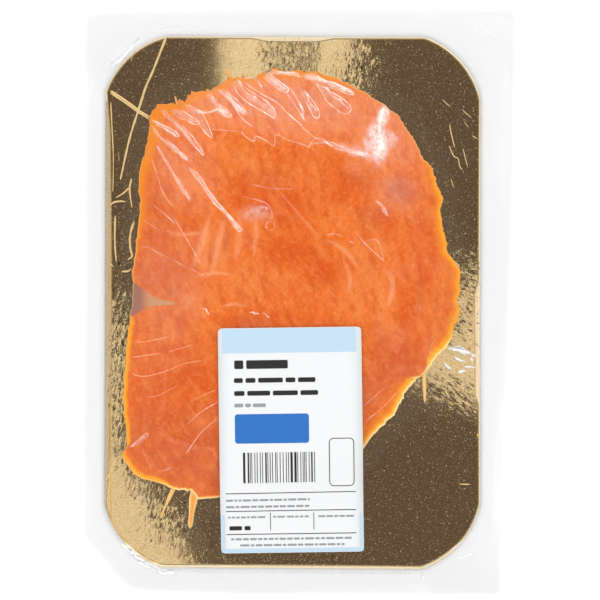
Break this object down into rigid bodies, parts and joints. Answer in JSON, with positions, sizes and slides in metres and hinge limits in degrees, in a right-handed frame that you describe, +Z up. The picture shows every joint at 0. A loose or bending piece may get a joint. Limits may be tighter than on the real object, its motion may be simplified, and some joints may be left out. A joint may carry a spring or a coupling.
{
  "type": "pack of smoked salmon",
  "caption": "Flat vacuum pack of sliced smoked salmon: clear film with a seal flange, gold foil board with clipped corners, draped fish slices and a plain printed paper label.",
  "frame": {"origin": "middle of the pack's outline, on the surface it lies on", "axes": "+X across the pack to the right, +Y along it away from the label, +Z up through the fish"},
  "size_m": [0.1848, 0.249, 0.0087],
  "materials": {
    "clear_film": "gloss",
    "gold_foil": "gloss",
    "salmon_flesh": "satin",
    "label_paper": "matt"
  },
  "bodies": {
    "root": {"lower_film": "clear_film", "gold_board": "gold_foil", "salmon_slice_under": "salmon_flesh", "salmon_slice_top": "salmon_flesh", "upper_film": "clear_film", "label": "label_paper"}
  },
  "joints": []
}
